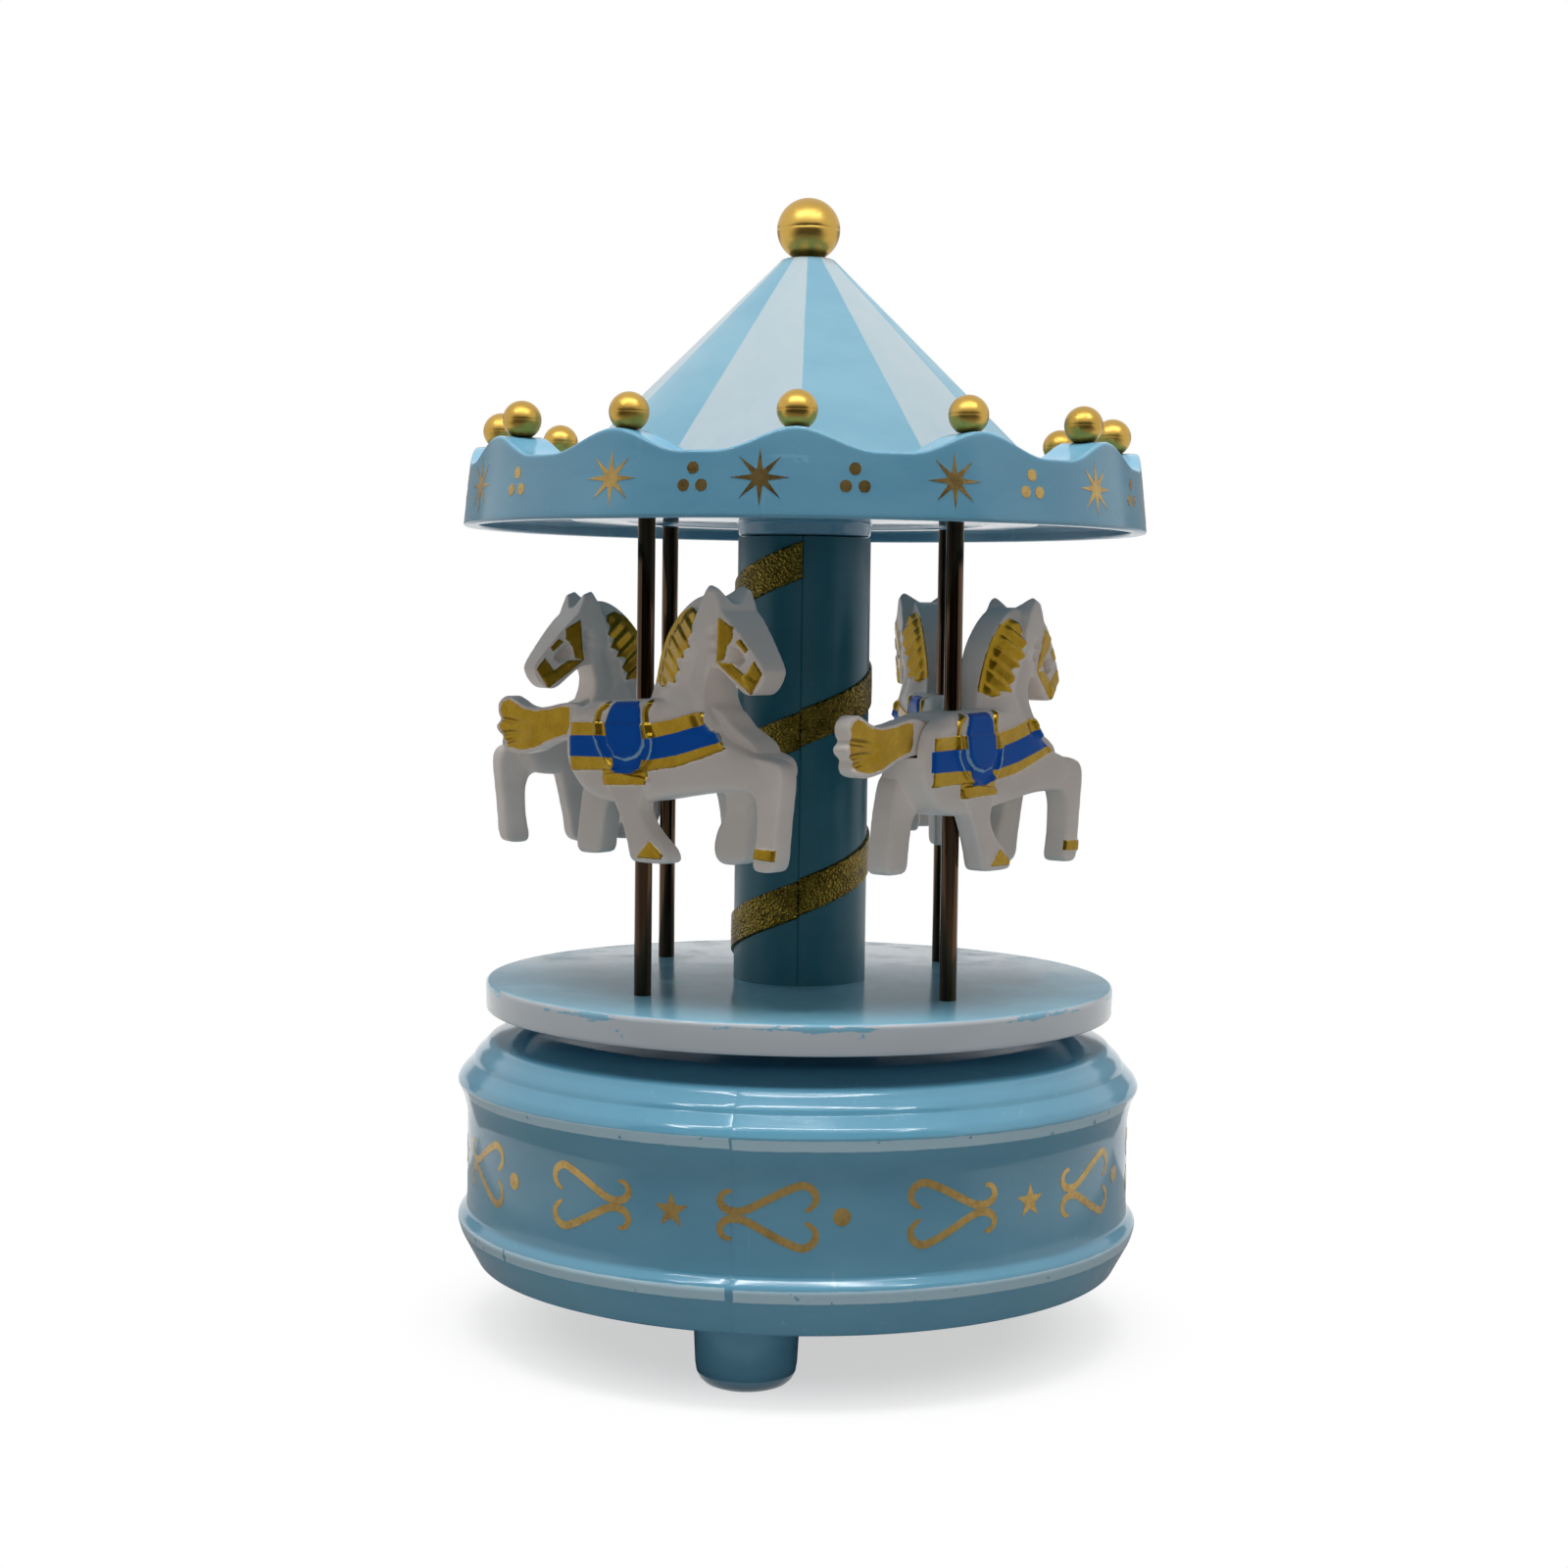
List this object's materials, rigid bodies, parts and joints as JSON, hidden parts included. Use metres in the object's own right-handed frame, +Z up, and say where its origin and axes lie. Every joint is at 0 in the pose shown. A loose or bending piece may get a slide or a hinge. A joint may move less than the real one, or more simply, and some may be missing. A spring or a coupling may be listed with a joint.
{
  "type": "carousel music box",
  "caption": "Wind-up carousel music box: round drum base on feet, turning platform with horses on poles around a column, and a scalloped canopy with a striped cone roof and gold balls.",
  "frame": {"origin": "on the table under the middle of the base", "axes": "+Z up, -Y towards the viewer of the picture"},
  "size_m": [0.1005, 0.1004, 0.1656],
  "materials": {
    "blue_plastic": "light blue moulded plastic with gold and white print",
    "striped_roof": "light blue moulded plastic with paler sprayed stripes",
    "white_plastic": "warm white moulded plastic with gold and blue paint",
    "gold_lacquer": "gold lacquered plastic",
    "antique_brass": "dark antique brass plated steel",
    "brass": "turned brass",
    "steel": "nickel plated steel",
    "nylon": "natural nylon"
  },
  "bodies": {
    "base": {"base_shell": "blue_plastic", "bedplate": "steel", "bedplate_screws": "steel", "bottom_cover": "blue_plastic", "comb": "steel", "comb_screws": "steel", "cover_screws": "steel", "cylinder_bearing_inner": "steel", "cylinder_bearing_outer": "steel", "deck_bush": "nylon", "foot_1": "blue_plastic", "foot_2": "blue_plastic", "foot_3": "blue_plastic", "governor_frame": "steel", "governor_screws": "steel", "housing_screws": "steel", "mainspring": "steel", "spring_cover": "brass", "spring_housing": "steel"},
    "carousel": {"canopy_rim": "blue_plastic", "ceiling_disc": "blue_plastic", "column_half_left": "blue_plastic", "column_half_right": "blue_plastic", "crown_wheel": "brass", "finial": "gold_lacquer", "horse_1": "white_plastic", "horse_2": "white_plastic", "horse_3": "white_plastic", "horse_4": "white_plastic", "platform": "blue_plastic", "platform_hub": "nylon", "pole_1": "antique_brass", "pole_2": "antique_brass", "pole_3": "antique_brass", "pole_4": "antique_brass", "roof_balls": "gold_lacquer", "roof_cone": "striped_roof", "tail_1": "white_plastic", "tail_2": "white_plastic", "tail_3": "white_plastic", "tail_4": "white_plastic", "tie_rod": "steel", "winding_stem": "steel"},
    "cylinder": {"music_cylinder": "brass", "cylinder_arbor": "steel", "cylinder_pinion": "brass", "cylinder_wheel": "brass"},
    "intermediate": {"intermediate_arbor": "steel", "worm_wheel": "nylon"},
    "governor": {"governor_worm": "steel", "governor_fly": "nylon"}
  },
  "joints": [
    {"name": "carousel_spin", "type": "hinge", "parent": "base", "child": "carousel", "pos_m": [0, 0, 0.045], "axis": [0, 0, 1], "continuous": true},
    {"name": "cylinder_spin", "type": "hinge", "parent": "base", "child": "cylinder", "pos_m": [0.029, 0, 0.02544], "axis": [1, 0, 0], "continuous": true},
    {"name": "intermediate_spin", "type": "hinge", "parent": "base", "child": "intermediate", "pos_m": [0.0366, -0.0125, 0.02544], "axis": [1, 0, 0], "continuous": true},
    {"name": "governor_spin", "type": "hinge", "parent": "base", "child": "governor", "pos_m": [0.034, -0.019, 0.02544], "axis": [0, 0, 1], "continuous": true}
  ],
  "couplings": [
    {"joint": "cylinder_spin", "follows": "carousel_spin", "ratio": -3},
    {"joint": "intermediate_spin", "follows": "carousel_spin", "ratio": 12},
    {"joint": "governor_spin", "follows": "carousel_spin", "ratio": 120}
  ]
}
